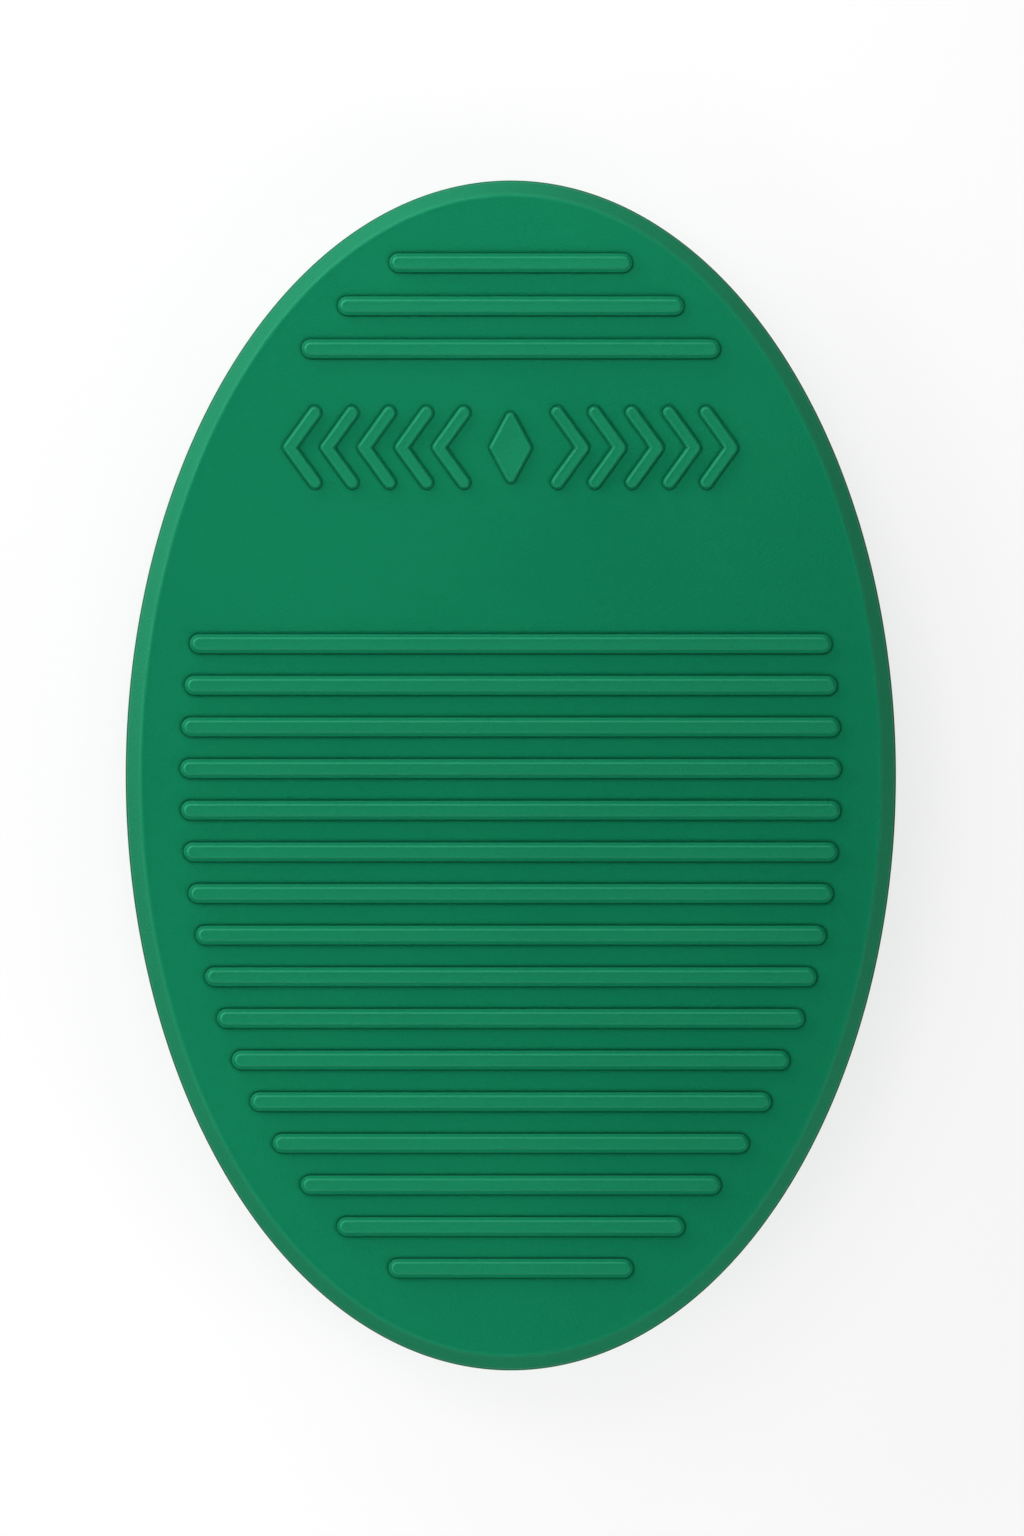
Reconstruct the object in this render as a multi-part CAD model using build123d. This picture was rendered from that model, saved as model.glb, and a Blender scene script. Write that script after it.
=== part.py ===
from build123d import *
import os
from math import atan, degrees, radians, sqrt, tan

# An oval foam balance pad, lying flat with its ribbed standing face up. Millimetres.
# The origin is on the floor under the pad's centre. X is the width, and +Y points at the toe end.

# Overall size
pad_length = 400.0
pad_width = 259.0
pad_thickness = 50.0  # floor to the tops of the ribs

# Ribs across the standing face
rib_height = 2.2
rib_width = 6.5
rib_foot = 1.3  # the lowest part of a rib's side stands upright
rib_flank_run = 1.6  # how far each sloped flank, above the upright foot, reaches in
rib_field_half_width = 111.0  # the rib ends lie on an oval, longer towards the toe than the heel
rib_field_toe_length = 185.0
rib_field_heel_length = 178.0
toe_rib_count = 3
toe_rib_first_y = 172.0
toe_rib_pitch = 14.43
main_rib_count = 16
main_rib_first_y = 44.2
main_rib_pitch = 13.97

# Raised motif between the two groups of ribs: a lozenge with chevrons pointing away from it
motif_y = 110.0
motif_height = 28.0
motif_half_width = 76.5
motif_rise = 1.6  # lower than the ribs, so that what rests on the face rests on the ribs
motif_stroke = 4.6
motif_foot = 0.8
motif_flank_run = 0.9
chevron_count = 5  # on each side
chevron_pitch = 12.5
chevron_depth = 8.5
lozenge_half_width = 7.5
lozenge_corner_radius = 1.8

# Rim, side wall and parting line
bevel = 4.4  # both the width and the height of the bevelled rim
wall_draft = 0.1  # how far the side wall leans in between the parting line and the bevel
bead_proud = 0.6  # the parting bead stands out from the side wall by this much
bead_half_height = 0.7

# Skins and core
skin_thickness = 2.8
bond_gap = 0.1  # the bond line between the core's sides and the skins

# Grip grooves in the underside
groove_count = 24
groove_pitch = 14.0
groove_width = 3.0
groove_depth = 1.2
groove_field_inset = 5.0  # the grooves end this far inside the oval that the ribs end on

body_height = pad_thickness - rib_height
half_height = body_height / 2
corner_shift = tan(radians(22.5))  # how far a 45 degree corner moves along when both its sides move in by 1


def oval(height, inset):
    """The pad's outline, drawn in by inset, at a height above the parting plane."""
    return Pos(0, 0, height) * Ellipse(pad_width / 2 - inset, pad_length / 2 - inset)


def half_block(depth, clearance=0.0):
    """The space inside the upper half, depth in from its surface, with a further clearance at the sides."""
    wall_foot = bead_proud + depth + clearance
    wall_head = wall_foot + wall_draft
    rim = bead_proud + wall_draft + bevel + depth * corner_shift + clearance
    sections = [
        oval(0, wall_foot),
        oval(half_height - bevel - depth * corner_shift, wall_head),
        oval(half_height - depth, rim),
    ]
    return loft(sections, ruled=True)


def parting_bead():
    """Half of the bead round the widest outline, with a small bevel above it."""
    sections = [
        oval(0, 0),
        oval(bead_half_height, 0),
        oval(bead_half_height + bead_proud, bead_proud + wall_draft),
    ]
    return loft(sections, ruled=True)


def half_skin():
    """The dense skin of one half, open at the parting plane, which is at height 0."""
    return half_block(0) + parting_bead() - half_block(skin_thickness)


def rib_half_length(y):
    """Half the length of a rib that lies at y, so that its ends meet the rib field's oval."""
    reach = rib_field_toe_length if y > 0 else rib_field_heel_length
    return rib_field_half_width * sqrt(1 - (y / reach) ** 2)


def rib_places():
    """The y of each rib, from the toe to the heel."""
    toe = [toe_rib_first_y - toe_rib_pitch * i for i in range(toe_rib_count)]
    main = [main_rib_first_y - main_rib_pitch * i for i in range(main_rib_count)]
    return toe + main


def raised(outline, rise, foot, flank_run):
    """An outline on the face, raised with an upright foot and sloped flanks above it."""
    flank_rise = rise - foot
    slope = degrees(atan(flank_run / flank_rise))
    return extrude(outline, foot) + Pos(0, 0, foot) * extrude(outline, flank_rise, taper=slope)


def rib(y):
    outline = SlotOverall(2 * rib_half_length(y), rib_width)
    return Pos(0, y, body_height) * raised(outline, rib_height, rib_foot, rib_flank_run)


def chevron(tip, side):
    """A round-ended chevron whose tip is at x = tip on the given side, 1 or -1, and points outwards."""
    arm_rise = (motif_height - motif_stroke) / 2
    shape = Sketch()
    for up in (1, -1):
        arm = Line((tip - chevron_depth, up * arm_rise), (tip, 0))
        middle = arm @ 0.5
        lean = degrees(atan(-up * arm_rise / chevron_depth))
        shape += Pos(middle.X, middle.Y) * Rot(0, 0, lean) * SlotCenterToCenter(arm.length, motif_stroke)
    return shape if side > 0 else mirror(shape, Plane.YZ)


def lozenge():
    corners = [(lozenge_half_width, 0), (0, motif_height / 2), (-lozenge_half_width, 0), (0, -motif_height / 2)]
    face = Polygon(*corners, align=None)
    return fillet(face.vertices(), lozenge_corner_radius)


def motif():
    """The raised motif's solids, standing on the face."""
    outlines = [lozenge()]
    for i in range(chevron_count):
        tip = motif_half_width - motif_stroke / 2 - chevron_pitch * i
        outlines += [chevron(tip, 1), chevron(tip, -1)]
    place = Pos(0, motif_y, body_height)
    return [place * raised(outline, motif_rise, motif_foot, motif_flank_run) for outline in outlines]


def tread_cover():
    """The upper skin, with its ribs and the motif moulded in."""
    skin = Pos(0, 0, half_height) * half_skin()
    ribs = [rib(y) for y in rib_places()]
    return skin + ribs + motif()


def base_cover():
    """The lower skin, with shallow grip grooves across the underside."""
    skin = Pos(0, 0, half_height) * mirror(half_skin(), Plane.XY)
    first_y = groove_pitch * (groove_count - 1) / 2
    grooves = []
    for i in range(groove_count):
        y = first_y - groove_pitch * i
        length = 2 * (rib_half_length(y) - groove_field_inset)
        grooves.append(Pos(0, y, 0) * extrude(SlotOverall(length, groove_width), groove_depth))
    return skin - grooves


def foam_core():
    """The foam that fills both skins."""
    upper = half_block(skin_thickness, bond_gap)
    return Pos(0, 0, half_height) * (upper + mirror(upper, Plane.XY))


os.makedirs("parts", exist_ok=True)
export_step(tread_cover(), "parts/tread_cover.step")
export_step(base_cover(), "parts/base_cover.step")
export_step(foam_core(), "parts/foam_core.step")
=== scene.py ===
"""An oval green foam balance pad: two moulded skins in full detail, a foam core, and a studio."""

from math import atan2, cos, pi, radians, sin, sqrt, tan

import bpy
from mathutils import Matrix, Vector
from mathutils.geometry import delaunay_2d_cdt


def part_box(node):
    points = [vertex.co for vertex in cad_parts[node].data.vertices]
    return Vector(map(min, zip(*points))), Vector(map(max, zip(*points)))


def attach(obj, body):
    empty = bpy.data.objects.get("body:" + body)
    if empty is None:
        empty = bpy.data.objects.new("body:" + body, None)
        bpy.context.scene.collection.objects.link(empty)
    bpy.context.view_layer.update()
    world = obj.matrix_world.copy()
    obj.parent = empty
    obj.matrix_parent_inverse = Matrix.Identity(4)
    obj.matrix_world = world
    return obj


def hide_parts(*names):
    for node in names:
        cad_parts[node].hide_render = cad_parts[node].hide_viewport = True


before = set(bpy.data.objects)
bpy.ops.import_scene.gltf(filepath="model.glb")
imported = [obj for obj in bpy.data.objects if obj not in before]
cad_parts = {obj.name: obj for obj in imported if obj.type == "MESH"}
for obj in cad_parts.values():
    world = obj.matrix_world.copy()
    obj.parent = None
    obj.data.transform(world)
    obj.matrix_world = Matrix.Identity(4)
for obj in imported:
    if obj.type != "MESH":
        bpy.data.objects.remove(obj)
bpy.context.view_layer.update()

MM = 0.001

# The pad, from the frame, in millimetres. The face is the plane that the ribs stand on.
tread_low, tread_high = (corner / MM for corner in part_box("tread_cover"))
core_low, core_high = (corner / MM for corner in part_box("foam_core"))
half_length = tread_high.y
half_width = tread_high.x
parting_z = tread_low.z
face_z = 2 * parting_z
rib_height = tread_high.z - face_z

# Ribs across the standing face, as in the design
rib_width = 6.5
rib_foot = 1.3
rib_flank_run = 1.6
rib_field_half_width = 111.0
rib_field_toe_length = 185.0
rib_field_heel_length = 178.0
toe_rib_count = 3
toe_rib_first_y = 172.0
toe_rib_pitch = 14.43
main_rib_count = 16
main_rib_first_y = 44.2
main_rib_pitch = 13.97

# Raised motif, as in the design
motif_y = 110.0
motif_height = 28.0
motif_half_width = 76.5
motif_rise = 1.6
motif_stroke = 4.6
motif_foot = 0.8
motif_flank_run = 0.9
chevron_count = 5
chevron_pitch = 12.5
chevron_depth = 8.5
lozenge_half_width = 7.5
lozenge_corner_radius = 1.8

# Grip grooves in the underside, as in the design
groove_count = 24
groove_pitch = 14.0
groove_width = 3.0
groove_depth = 1.2
groove_field_inset = 5.0

# Rim, side wall and parting line, as in the design
bevel = 4.4
wall_draft = 0.1
bead_proud = 0.6
skin_thickness = 2.8

# How finely the meshes are made
rim_points = 480
arc_points = 12
straight_step = 5.0  # the longest edge along a rib
face_step = 4.5  # between the points inside the face
face_rim_gap = 2  # how far the points inside the face keep from the rim
face_relief_gap = 1.6  # and from the ribs, the motif and the grooves
chevron_side_points = 4
lozenge_side_points = 5
moat_reach = 1.3  # how far from a rib's foot the face starts to dip
rib_step = 0.5  # a steeper step between a rib's flank and its top
motif_step = 0.25
groove_reach = 0.9  # how far from a groove the underside starts to round into it
rim_reach = 3.2  # how far from the bevel the face starts to rise to its lip
tread_lip = 0.09
face_inset = bead_proud + wall_draft + bevel + rim_reach


def curve_steps(low, high, count):
    """Evenly spaced values from low to high, both included."""
    return [low + (high - low) * i / (count - 1) for i in range(count)]


def arc(centre, radius, start, end, count=arc_points):
    """Points on an arc, from one angle to another in degrees."""
    return [
        (centre[0] + radius * cos(radians(a)), centre[1] + radius * sin(radians(a)))
        for a in curve_steps(start, end, count)
    ]


def straight(start, end, count):
    """The points strictly between two points, count of them."""
    return [
        (start[0] + (end[0] - start[0]) * i / (count + 1), start[1] + (end[1] - start[1]) * i / (count + 1))
        for i in range(1, count + 1)
    ]


# ---- Outlines. Each gives a closed anticlockwise ring, drawn in by an inset, of as many points each time. ----


def rim_ring(inset):
    """The pad's oval outline, from the toe round by the left."""
    turns = [2 * pi * i / rim_points for i in range(rim_points)]
    return [(-(half_width - inset) * sin(turn), (half_length - inset) * cos(turn)) for turn in turns]


def slot_ring(y, half_span, width):
    """A function that gives the round-ended bar that lies across the pad at y."""
    radius = width / 2
    reach = half_span - radius
    count = max(3, round(2 * reach / straight_step))

    def ring(inset):
        r = radius - inset
        right_cap = arc((reach, y), r, -90, 90)
        left_cap = arc((-reach, y), r, 90, 270)
        return (
            right_cap
            + straight(right_cap[-1], left_cap[0], count)
            + left_cap
            + straight(left_cap[-1], right_cap[0], count)
        )

    return ring


def chevron_ring(tip, side):
    """A function that gives a chevron that points away from the centre, to the given side."""
    rise = (motif_height - motif_stroke) / 2
    lean = atan2(rise, chevron_depth)
    lean_degrees = lean * 180 / pi

    def ring(inset):
        r = motif_stroke / 2 - inset
        top = (tip - chevron_depth, rise)
        foot = (tip - chevron_depth, -rise)
        inner_corner = (tip - r / sin(lean), 0)
        foot_cap = arc(foot, r, lean_degrees - 270, lean_degrees - 90)
        nose = arc((tip, 0), r, lean_degrees - 90, 90 - lean_degrees)
        top_cap = arc(top, r, 90 - lean_degrees, 270 - lean_degrees)
        points = (
            foot_cap
            + straight(foot_cap[-1], nose[0], chevron_side_points)
            + nose
            + straight(nose[-1], top_cap[0], chevron_side_points)
            + top_cap
            + straight(top_cap[-1], inner_corner, chevron_side_points)
            + [inner_corner]
            + straight(inner_corner, foot_cap[0], chevron_side_points)
        )
        if side < 0:
            points = [(-x, y) for x, y in reversed(points)]
        return [(x, y + motif_y) for x, y in points]

    return ring


def lozenge_ring(inset):
    """The motif's centre lozenge, with rounded corners."""
    tall = motif_height / 2
    wide = lozenge_half_width
    edge_distance = wide * tall / sqrt(wide ** 2 + tall ** 2)
    smallest_radius = 0.25
    corner_radius = max(lozenge_corner_radius - inset, smallest_radius)
    scale = (edge_distance - inset - corner_radius) / edge_distance
    side_half = atan2(wide, tall) * 180 / pi
    tip_half = 90 - side_half
    corners = [
        ((wide * scale, 0), 0, side_half),
        ((0, tall * scale), 90, tip_half),
        ((-wide * scale, 0), 180, side_half),
        ((0, -tall * scale), 270, tip_half),
    ]
    arcs = [arc(place, corner_radius, middle - half, middle + half) for place, middle, half in corners]
    points = []
    for i, corner in enumerate(arcs):
        next_corner = arcs[(i + 1) % len(arcs)]
        points += corner + straight(corner[-1], next_corner[0], lozenge_side_points)
    return [(x, y + motif_y) for x, y in points]


def rib_half_length(y):
    """Half the length of a rib that lies at y, so that its ends meet the rib field's oval."""
    reach = rib_field_toe_length if y > 0 else rib_field_heel_length
    return rib_field_half_width * sqrt(1 - (y / reach) ** 2)


def rib_rings():
    toe = [toe_rib_first_y - toe_rib_pitch * i for i in range(toe_rib_count)]
    main = [main_rib_first_y - main_rib_pitch * i for i in range(main_rib_count)]
    return [slot_ring(y, rib_half_length(y), rib_width) for y in toe + main]


def motif_rings():
    rings = [lozenge_ring]
    for i in range(chevron_count):
        tip = motif_half_width - motif_stroke / 2 - chevron_pitch * i
        rings += [chevron_ring(tip, 1), chevron_ring(tip, -1)]
    return rings


def groove_rings():
    first_y = groove_pitch * (groove_count - 1) / 2
    places = [first_y - groove_pitch * i for i in range(groove_count)]
    return [slot_ring(y, rib_half_length(y) - groove_field_inset, groove_width) for y in places]


# ---- Profiles: (inset from the outline, height above the face, painted light and shade), from outside in. ----
# The last value runs from 1, painted highlight that pales an edge, through 0 to -1, painted shade in a crease.


def relief_profile(rise, foot, flank_run, step):
    """A raised bar: a fine crease darkened with painted shade, an upright foot, a gentle flank, and a steeper
    step and a dished top paled with painted highlight.
    """
    flank_start = 0.2
    shoulder = flank_run - step
    flank = [
        (flank_start + (shoulder - flank_start) * share, foot + (rise - step - foot) * share, 0)
        for share in (0.02, 0.3, 0.65, 0.92)
    ]
    # The top is paled with painted highlight.
    top_painted_highlight = 0.3
    return [
        (-moat_reach, 0, 0),
        # Painted shade darkens the crease at the foot.
        (-0.6, -0.03, -0.1),
        (-0.3, -0.1, -0.35),
        (-0.1, -0.19, -0.9),
        (0.02, -0.13, -1),
        (0.05, 0.4 * foot, -0.7),
        (0.08, 0.8 * foot, -0.3),
        (0.12, foot - 0.06, 0),
        *flank,
        # Painted highlight pales the step, strongest at its upper edge.
        (shoulder + 0.25 * step, rise - 0.8 * step, 0.8),
        (flank_run - 0.2 * step, rise - 0.18 * step, 1),
        (flank_run + 0.08, rise, 0.6),
        (flank_run + 0.28, rise - 0.01, top_painted_highlight),
        (flank_run + 0.65, rise - 0.05, top_painted_highlight),
    ]


def groove_profile():
    """A shallow groove with soft edges, paled with painted highlight, and a floor darkened with painted shade.
    """
    return [
        (-groove_reach, 0, 0),
        (-0.35, -0.03, 0.5),
        (-0.05, -0.17, 1),
        (0.15, -0.5, 0.3),
        (0.3, -groove_depth + 0.25, -0.6),
        (0.55, -groove_depth + 0.03, -1),
        (0.9, -groove_depth, -0.6),
    ]


def rim_profile(lip):
    """The pad's edge from the face down to the parting plane, as (inset, height above the parting plane,
    painted light and shade).

    lip is how far the bevel's inner edge stands proud of the face.
    """
    top = face_z - parting_z
    wall_top = bead_proud + wall_draft
    inner = wall_top + bevel
    soft = 0.75  # how far the edge between the face and the bevel is rounded
    wall_start = top - bevel - 0.6
    rings = [
        (inner + rim_reach, top, 0),
        (inner + 1.9, top + 0.1 * lip, 0),
        (inner + 1.1, top + 0.5 * lip, 0),
        # Painted highlight pales the lip at the bevel's inner edge.
        (inner + 0.55, top + lip, 0.25),
        (inner + 0.15, top + lip - 0.04, 0.45),
        (inner - 0.35, top - soft / 2, 0.25),
        (inner - soft, top - soft - 0.08, 0),
    ]
    for share in (0.35, 0.6):
        rings.append((inner - bevel * share, top - bevel * share - 0.06, 0))
    rings += [
        (wall_top + 0.3, top - bevel + 0.29, 0),
        # Painted highlight pales the bevel's outer edge.
        (wall_top + 0.1, top - bevel + 0.05, 0.2),
        (wall_top + 0.02, top - bevel - 0.18, 0.2),
        (wall_top, wall_start, 0),
    ]
    # Painted shade darkens the side wall a little, and the parting bead and the crease beside the parting line
    # more.
    wall_end = 1.6
    for share in (0.33, 0.66, 0.95):
        height = wall_start * (1 - share) + wall_end * share
        rings.append((wall_top - wall_draft * share, height, -0.1))
    rings += [
        (bead_proud - 0.02, 1.2, -0.4),
        (bead_proud - 0.12, 0.95, -0.6),
        (bead_proud - 0.33, 0.82, -0.6),
        (0.12, 0.72, -0.4),
        (0.02, 0.56, -0.1),
        (0, 0.34, 0),
        (0.08, 0.14, -0.3),
        (0.34, 0.03, -0.8),
    ]
    return rings


def inner_profile():
    """The inside of a skin, from the parting plane up, as (inset, height above the parting plane, painted light
    and shade).
    """
    top = face_z - parting_z
    shift = skin_thickness * tan(radians(22.5))
    foot = bead_proud + skin_thickness
    return [
        (foot - 0.4, 0.04, 0),
        (foot, 0.5, 0),
        (foot + wall_draft, top - bevel - shift, 0),
        (bead_proud + wall_draft + bevel + shift, top - skin_thickness, 0),
    ]


# ---- Building a skin ----


def swell(x, y):
    """The slow unevenness of a foam surface."""
    return 0.07 * sin(x / 23 + 1.1) * cos(y / 31 - 0.4) + 0.05 * sin((x + y) / 41 + 2.0)


class Skin:
    """A closed mesh that grows ring by ring, with the painted light and shade at each point."""

    def __init__(self):
        self.points = []
        self.painted_light_and_shade = []
        self.faces = []

    def add_ring(self, outline, height, painted_light_and_shade):
        start = len(self.points)
        self.points += [(x, y, height) for x, y in outline]
        self.painted_light_and_shade += [painted_light_and_shade] * len(outline)
        return list(range(start, len(self.points)))

    def bridge(self, outer, inner):
        """Faces between two rings. They face up where the outer ring goes anticlockwise."""
        count = len(outer)
        for i in range(count):
            j = (i + 1) % count
            self.faces.append((outer[i], outer[j], inner[j], inner[i]))

    def add_relief(self, ring, profile):
        """A raised or sunk bar, closed at its middle. Gives the ring where it meets the face."""
        rings = [self.add_ring(ring(inset), height, painted_light_and_shade) for inset, height, painted_light_and_shade in profile]
        for outer, inner in zip(rings, rings[1:]):
            self.bridge(outer, inner)
        self.faces.append(tuple(rings[-1]))
        return rings[0]

    def fill_face(self, border, holes, blocked):
        """Triangles between the border ring and the holes, with points of their own inside."""
        rings = [border] + holes
        given = [i for ring in rings for i in ring]
        flat = [Vector(self.points[i][:2]) for i in given]
        place = {index: n for n, index in enumerate(given)}
        edges = [(place[a], place[b]) for ring in rings for a, b in zip(ring, ring[1:] + ring[:1])]
        flat += [Vector(p) for p in inside_points(blocked)]
        tolerance = 1e-5
        points, _, triangles, sources, _, _ = delaunay_2d_cdt(flat, edges, [], 0, tolerance)
        kept = []
        for n, point in enumerate(points):
            first = min(sources[n])
            if first < len(given):
                kept.append(given[first])
            else:
                kept.append(len(self.points))
                self.points.append((point.x, point.y, 0))
                self.painted_light_and_shade.append(0)
        for triangle in triangles:
            middle = sum((points[n] for n in triangle), Vector((0, 0))) / 3
            if in_oval(middle, face_inset) and not blocked(middle, 0):
                self.faces.append(tuple(kept[n] for n in triangle))


def in_oval(point, inset):
    return (point[0] / (half_width - inset)) ** 2 + (point[1] / (half_length - inset)) ** 2 < 1


def inside_points(blocked):
    """A staggered grid of points over the face, clear of the rim and of everything blocked."""
    points = []
    row_step = face_step * sqrt(3) / 2
    rows = int(half_length / row_step)
    columns = int(half_width / face_step) + 1
    for row in range(-rows, rows + 1):
        for column in range(-columns, columns + 1):
            point = ((column + 0.5 * (row % 2)) * face_step, row * row_step)
            if in_oval(point, face_inset + face_rim_gap) and not blocked(point, face_relief_gap):
                points.append(point)
    return points


def in_ring(point, outline):
    """Whether a point is inside a closed ring of points."""
    inside = False
    for (ax, ay), (bx, by) in zip(outline, outline[1:] + outline[:1]):
        if (ay > point[1]) != (by > point[1]) and point[0] < ax + (point[1] - ay) * (bx - ax) / (by - ay):
            inside = not inside
    return inside


def blocker(rings, outset):
    """A function that says whether a point is inside any ring, or within a margin of it."""
    cache = {}

    def outlines(margin):
        if margin not in cache:
            found = [ring(-outset - margin) for ring in rings]
            cache[margin] = [
                (outline, min(y for _, y in outline), max(y for _, y in outline)) for outline in found
            ]
        return cache[margin]

    def blocked(point, margin):
        return any(
            low < point[1] < high and in_ring(point, outline) for outline, low, high in outlines(margin)
        )

    return blocked


def build_skin(reliefs, outset, lip, uneven):
    """One half's skin, face up, with the parting plane at height 0.

    reliefs holds (ring, profile) pairs, and outset is how far their profiles reach outside their rings.
    uneven scales the face's slow unevenness. It is 0 for a side that rests flat.
    """
    skin = Skin()
    top = face_z - parting_z
    holes = []
    for ring, profile in reliefs:
        raised = [(inset, top + height, painted_light_and_shade) for inset, height, painted_light_and_shade in profile]
        holes.append(skin.add_relief(ring, raised))
    outside = rim_profile(lip)
    profile = outside + inner_profile()
    rings = [skin.add_ring(rim_ring(inset), height, painted_light_and_shade) for inset, height, painted_light_and_shade in profile]
    for inner, outer in zip(rings, rings[1:]):
        skin.bridge(outer, inner)
    skin.faces.append(tuple(reversed(rings[-1])))
    inner_start = rings[len(outside)][0]
    inner_end = len(skin.points)
    skin.fill_face(rings[0], holes, blocker([ring for ring, _ in reliefs], outset))
    for i in range(inner_end, len(skin.points)):
        x, y, _ = skin.points[i]
        skin.points[i] = (x, y, top)
    for i, (x, y, z) in enumerate(skin.points):
        if z > top - bevel and not inner_start <= i < inner_end:
            skin.points[i] = (x, y, z + uneven * swell(x, y))
    return skin


def make_piece(name, skin, place, flipped=False):
    """A Blender object from a skin. place turns a point in the skin's millimetres into the pad's."""
    mesh = bpy.data.meshes.new(name)
    faces = [tuple(reversed(face)) for face in skin.faces] if flipped else skin.faces
    points = [Vector(place(*point)) * MM for point in skin.points]
    mesh.from_pydata(points, [], faces)
    mesh.validate()
    # The attribute holds painted highlight above 0 and painted shade below 0, for the skin's colour.
    painted_light_and_shade = mesh.attributes.new("painted_light_and_shade", "FLOAT", "POINT")
    painted_light_and_shade.data.foreach_set("value", skin.painted_light_and_shade)
    mesh.shade_smooth()
    piece = bpy.data.objects.new(name, mesh)
    bpy.context.scene.collection.objects.link(piece)
    return piece


# ---- Materials ----


class Nodes:
    """A short way to lay out a material's nodes."""

    def __init__(self, name):
        self.material = bpy.data.materials.new(name)
        self.material.use_nodes = True
        self.tree = self.material.node_tree
        self.shader = self.tree.nodes["Principled BSDF"]

    def add(self, kind, values=None, **settings):
        node = self.tree.nodes.new(kind)
        for key, value in settings.items():
            setattr(node, key, value)
        for key, value in (values or {}).items():
            node.inputs[key].default_value = value
        return node

    def link(self, source, target):
        self.tree.links.new(source, target)


def placed_coordinates(nodes, turn, stretch):
    """Object coordinates, turned about Z and stretched, for a texture."""
    source = nodes.add("ShaderNodeTexCoord")
    mapping = nodes.add("ShaderNodeMapping", {"Rotation": (0, 0, radians(turn)), "Scale": stretch})
    nodes.link(source.outputs["Object"], mapping.inputs["Vector"])
    return mapping.outputs["Vector"]


def moulded_skin_material():
    """Satin foam skin, green, with a fine pebble grain, shiny edges, painted highlight on edges and rib tops,
    and painted shade in creases.
    """
    nodes = Nodes("moulded_skin")
    shader = nodes.shader
    shader.inputs["Specular IOR Level"].default_value = 0.38
    shader.inputs["Specular Tint"].default_value = (0.1, 1.0, 0.56, 1)

    where = placed_coordinates(nodes, -38, (1.0, 0.85, 1.0))
    grain = nodes.add("ShaderNodeTexNoise", {"Scale": 1700, "Detail": 1.0})
    pebble = nodes.add("ShaderNodeTexVoronoi", {"Scale": 1400, "Smoothness": 0.8}, feature="SMOOTH_F1")
    nodes.link(where, grain.inputs["Vector"])
    nodes.link(where, pebble.inputs["Vector"])
    height = nodes.add("ShaderNodeMix", {"Factor": 0.4}, data_type="FLOAT")
    nodes.link(grain.outputs["Fac"], height.inputs["A"])
    nodes.link(pebble.outputs["Distance"], height.inputs["B"])
    bump = nodes.add("ShaderNodeBump", {"Strength": 0.85, "Distance": 0.00025})
    nodes.link(height.outputs["Result"], bump.inputs["Height"])
    nodes.link(bump.outputs["Normal"], shader.inputs["Normal"])

    broad = nodes.add("ShaderNodeTexNoise", {"Scale": 18, "Detail": 2.0})
    nodes.link(where, broad.inputs["Vector"])
    tint = nodes.add("ShaderNodeValToRGB")
    tint.color_ramp.elements[0].position = 0.3
    tint.color_ramp.elements[0].color = (0.0022, 0.17, 0.0745, 1)
    tint.color_ramp.elements[1].position = 0.7
    tint.color_ramp.elements[1].color = (0.003, 0.181, 0.079, 1)
    nodes.link(broad.outputs["Fac"], tint.inputs["Fac"])
    # Painted highlight: the colour is paled towards a lighter green where the attribute is above 0.
    painted_light_and_shade = nodes.add("ShaderNodeAttribute", attribute_name="painted_light_and_shade")
    painted_highlight_mix = nodes.add("ShaderNodeMix", {"B": (0.018, 0.26, 0.125, 1)}, data_type="RGBA")
    nodes.link(painted_light_and_shade.outputs["Fac"], painted_highlight_mix.inputs["Factor"])
    nodes.link(tint.outputs["Color"], painted_highlight_mix.inputs["A"])
    # Painted shade: the colour is darkened towards a near-black green where the attribute is below 0.
    painted_shade_share = nodes.add("ShaderNodeMath", {1: -0.75}, operation="MULTIPLY", use_clamp=True)
    nodes.link(painted_light_and_shade.outputs["Fac"], painted_shade_share.inputs[0])
    painted_shade_mix = nodes.add("ShaderNodeMix", {"B": (0.002, 0.045, 0.023, 1)}, data_type="RGBA")
    nodes.link(painted_shade_share.outputs["Value"], painted_shade_mix.inputs["Factor"])
    nodes.link(painted_highlight_mix.outputs["Result"], painted_shade_mix.inputs["A"])
    nodes.link(painted_shade_mix.outputs["Result"], shader.inputs["Base Color"])

    satin = nodes.add("ShaderNodeMapRange", {"To Min": 0.46, "To Max": 0.58})
    nodes.link(grain.outputs["Fac"], satin.inputs["Value"])
    rubbed = nodes.add("ShaderNodeMapRange", {"To Min": 0, "To Max": 0.2})
    nodes.link(painted_light_and_shade.outputs["Fac"], rubbed.inputs["Value"])
    gloss = nodes.add("ShaderNodeMath", operation="SUBTRACT")
    nodes.link(satin.outputs["Result"], gloss.inputs[0])
    nodes.link(rubbed.outputs["Result"], gloss.inputs[1])
    nodes.link(gloss.outputs["Value"], shader.inputs["Roughness"])
    return nodes.material


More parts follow.
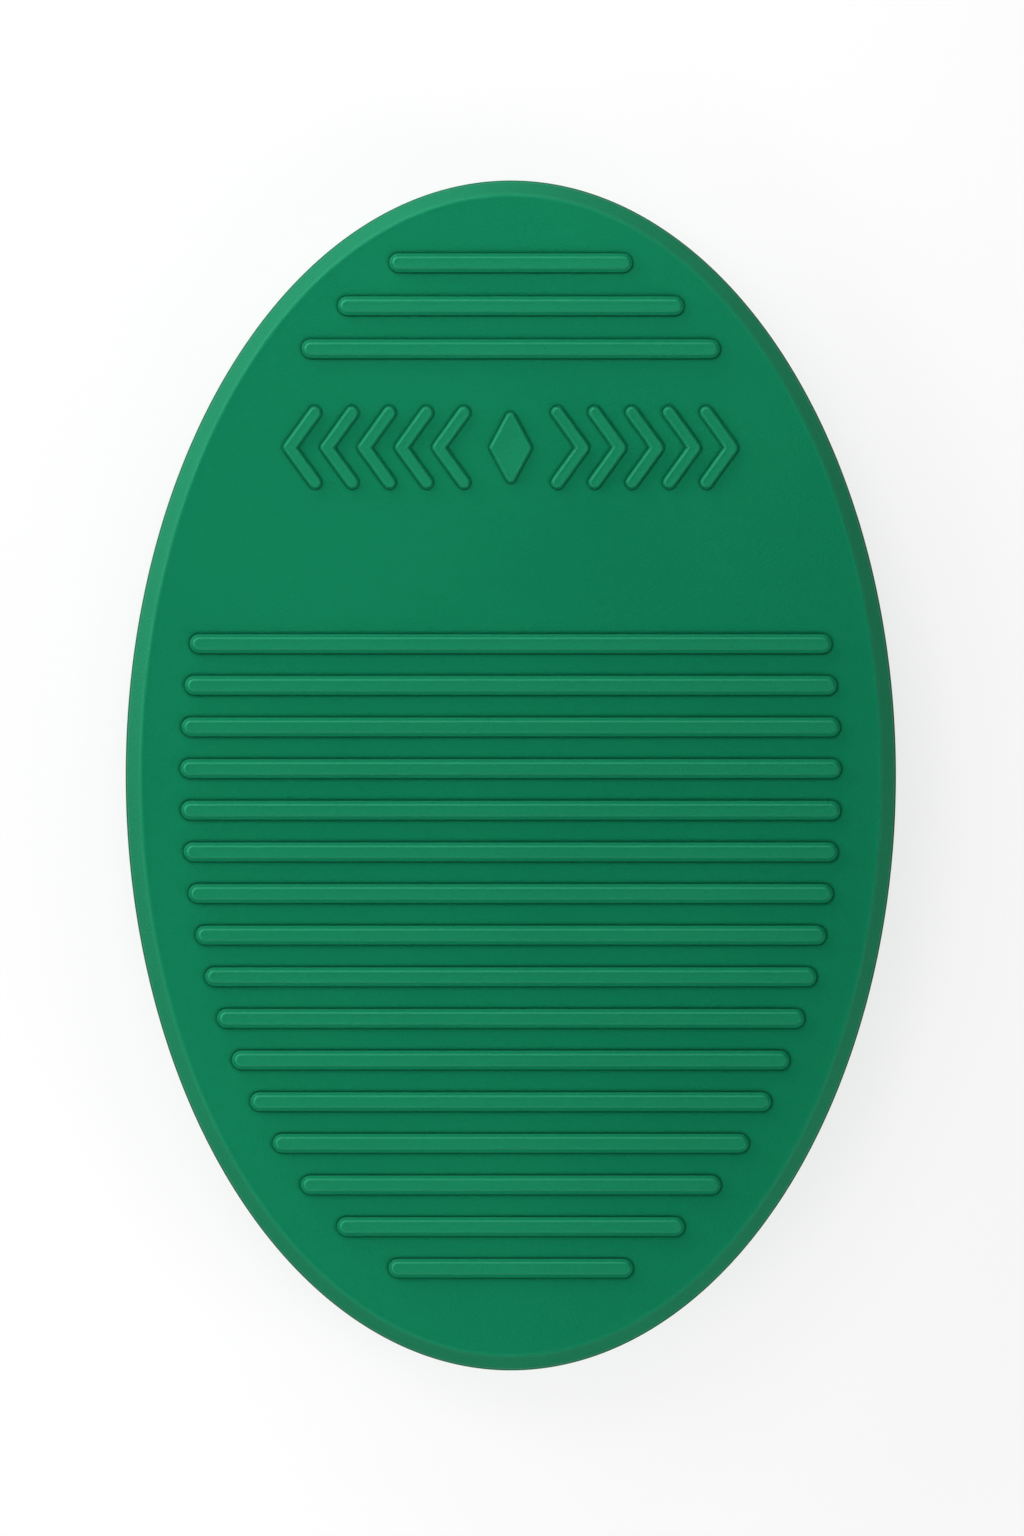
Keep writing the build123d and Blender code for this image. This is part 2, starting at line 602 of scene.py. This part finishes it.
def cellular_core_material():
    """Closed-cell foam, cut: pale green with small cells."""
    nodes = Nodes("cellular_core")
    shader = nodes.shader
    shader.inputs["Specular IOR Level"].default_value = 0.25
    where = placed_coordinates(nodes, 0, (1.0, 1.0, 1.0))
    cells = nodes.add("ShaderNodeTexVoronoi", {"Scale": 700})
    patches = nodes.add("ShaderNodeTexNoise", {"Scale": 30, "Detail": 3.0})
    nodes.link(where, cells.inputs["Vector"])
    nodes.link(where, patches.inputs["Vector"])
    bump = nodes.add("ShaderNodeBump", {"Strength": 0.8, "Distance": 0.0004})
    nodes.link(cells.outputs["Distance"], bump.inputs["Height"])
    nodes.link(bump.outputs["Normal"], shader.inputs["Normal"])
    tint = nodes.add("ShaderNodeValToRGB")
    tint.color_ramp.elements[0].color = (0.012, 0.20, 0.095, 1)
    tint.color_ramp.elements[1].color = (0.03, 0.31, 0.16, 1)
    mixed = nodes.add("ShaderNodeMix", {"Factor": 0.5}, data_type="FLOAT")
    nodes.link(cells.outputs["Distance"], mixed.inputs["A"])
    nodes.link(patches.outputs["Fac"], mixed.inputs["B"])
    nodes.link(mixed.outputs["Result"], tint.inputs["Fac"])
    nodes.link(tint.outputs["Color"], shader.inputs["Base Color"])
    gloss = nodes.add("ShaderNodeMapRange", {"To Min": 0.75, "To Max": 0.92})
    nodes.link(patches.outputs["Fac"], gloss.inputs["Value"])
    nodes.link(gloss.outputs["Result"], shader.inputs["Roughness"])
    return nodes.material


# ---- The pieces ----


def tread_place(x, y, z):
    return (x, y, parting_z + z)


def base_place(x, y, z):
    return (x, y, parting_z - z)


def stand_in(piece, node, material):
    """Gives a piece its material, and hides the node of the frame that the piece is shown for. All of the pad
    is padding.
    """
    piece.data.materials.append(material)
    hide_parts(node)
    return piece


def make_tread_cover(material):
    rib_profile = relief_profile(rib_height, rib_foot, rib_flank_run, rib_step)
    motif_profile = relief_profile(motif_rise, motif_foot, motif_flank_run, motif_step)
    reliefs = [(ring, rib_profile) for ring in rib_rings()]
    reliefs += [(ring, motif_profile) for ring in motif_rings()]
    skin = build_skin(reliefs, moat_reach, tread_lip, 1)
    return stand_in(make_piece("tread_skin", skin, tread_place), "tread_cover", material)


def make_base_cover(material):
    reliefs = [(ring, groove_profile()) for ring in groove_rings()]
    skin = build_skin(reliefs, groove_reach, 0, 0)
    piece = make_piece("base_skin", skin, base_place, flipped=True)
    return stand_in(piece, "base_cover", material)


def make_foam_core(material):
    """The foam inside: a slightly crowned oval block with soft edges."""
    core = Skin()
    thick = (core_high.z - core_low.z) / 2
    middle = (core_high.z + core_low.z) / 2
    side = half_width - core_high.x
    # inset from the side, and height above the middle as a share of half the thickness
    crown = [(0.0, 0.0), (0.1, 0.7), (0.5, 0.86), (1.6, 0.95), (3.4, 0.992), (6.0, 0.999), (60.0, 1.0)]
    heights = list(reversed(crown)) + [(inset, -share) for inset, share in crown[1:]]
    rings = [core.add_ring(rim_ring(side + inset), thick * share, 0) for inset, share in heights]
    core.faces.append(tuple(rings[0]))
    for inner, outer in zip(rings, rings[1:]):
        core.bridge(outer, inner)
    core.faces.append(tuple(reversed(rings[-1])))
    piece = make_piece("foam_filling", core, lambda x, y, z: (x, y, middle + z))
    return stand_in(piece, "foam_core", material)


# ---- Studio ----


def make_floor():
    """A pale table, lit from within so that shadows on it stay light."""
    size = 20.0
    mesh = bpy.data.meshes.new("floor")
    corners = [(-size, -size, 0), (size, -size, 0), (size, size, 0), (-size, size, 0)]
    mesh.from_pydata(corners, [], [(0, 1, 2, 3)])
    floor = bpy.data.objects.new("floor", mesh)
    bpy.context.scene.collection.objects.link(floor)
    nodes = Nodes("floor")
    nodes.shader.inputs["Base Color"].default_value = (0.25, 0.25, 0.25, 1)
    nodes.shader.inputs["Roughness"].default_value = 0.9
    nodes.shader.inputs["Specular IOR Level"].default_value = 0.1
    nodes.shader.inputs["Emission Color"].default_value = (1, 1, 1, 1)
    nodes.shader.inputs["Emission Strength"].default_value = 0.75
    mesh.materials.append(nodes.material)


def make_world():
    """Nearly dark overhead, and as bright as the floor below the horizon, where the floor ends."""
    world = bpy.data.worlds.new("studio")
    world.use_nodes = True
    tree = world.node_tree
    coordinates = tree.nodes.new("ShaderNodeTexCoord")
    split = tree.nodes.new("ShaderNodeSeparateXYZ")
    fade = tree.nodes.new("ShaderNodeMapRange")
    tree.links.new(coordinates.outputs["Generated"], split.inputs["Vector"])
    tree.links.new(split.outputs["Z"], fade.inputs["Value"])
    tree.links.new(fade.outputs["Result"], tree.nodes["Background"].inputs["Color"])
    for key, value in {"From Min": -0.01, "From Max": 0.02, "To Min": 0.76, "To Max": 0.02}.items():
        fade.inputs[key].default_value = value
    bpy.context.scene.world = world


def add_area_light(name, brightness, distance, size):
    """A soft light of size (width, height), in metres.

    brightness is how bright it would make a white sheet that faces it at the given distance.
    """
    light = bpy.data.lights.new(name, "AREA")
    light.shape = "RECTANGLE"
    light.size, light.size_y = size
    light.energy = brightness * pi ** 2 * distance ** 2
    lamp = bpy.data.objects.new(name, light)
    bpy.context.scene.collection.objects.link(lamp)
    return lamp


def add_studio_lights():
    """Soft lights that stand round the pad and face it, and others that hang over its edges and face down."""
    stand_distance = 1.6
    for name, brightness, azimuth, elevation, size in (
        ("key strip", 0.93, 138, 15, (2.2, 0.6)),
        ("left strip", 0.06, 172, 15, (1.4, 0.6)),
        ("toe strip", 0.1, 92, 15, (1.4, 0.6)),
        ("overhead", 0.16, 120, 70, (0.8, 0.8)),
        ("right fill", 0.33, -30, 32, (1.0, 1.0)),
        ("heel left fill", 0.11, -135, 32, (1.0, 1.0)),
        ("heel fill", 0.1, -90, 32, (1.0, 1.0)),
    ):
        turn = radians(azimuth)
        rise = radians(elevation)
        toward = Vector((cos(turn) * cos(rise), sin(turn) * cos(rise), sin(rise)))
        lamp = add_area_light(name, brightness, stand_distance, size)
        lamp.location = toward * stand_distance
        lamp.rotation_euler = toward.to_track_quat("Z", "Y").to_euler()
    hang_height = 0.4
    for name, brightness, x, y in (
        ("toe sheen", 0.431, -0.02, 0.34),
        ("left sheen", 0.155, -0.26, -0.02),
        ("heel sheen", 0.32, -0.1, -0.32),
    ):
        lamp = add_area_light(name, brightness, hang_height, (0.25, 0.25))
        lamp.location = (x, y, hang_height)


def place_camera():
    """Square on to the standing face, from far off, with the toe end at the top of the picture."""
    lens = 1000.0
    sensor = 36.0
    view_height = 515.6  # from the bottom of the picture to the top, at the rim's height
    aim = (0.4, 2.5)
    data = bpy.data.cameras.new("camera")
    data.lens = lens
    data.sensor_width = sensor
    data.clip_end = 100
    camera = bpy.data.objects.new("camera", data)
    distance = view_height * lens / sensor
    camera.location = Vector((aim[0], aim[1], face_z - bevel + distance)) * MM
    bpy.context.scene.collection.objects.link(camera)
    bpy.context.scene.camera = camera
    bpy.context.scene.view_settings.view_transform = "Standard"


skin_material = moulded_skin_material()
for piece in (
    make_tread_cover(skin_material),
    make_base_cover(skin_material),
    make_foam_core(cellular_core_material()),
):
    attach(piece, "root")
make_floor()
make_world()
add_studio_lights()
place_camera()
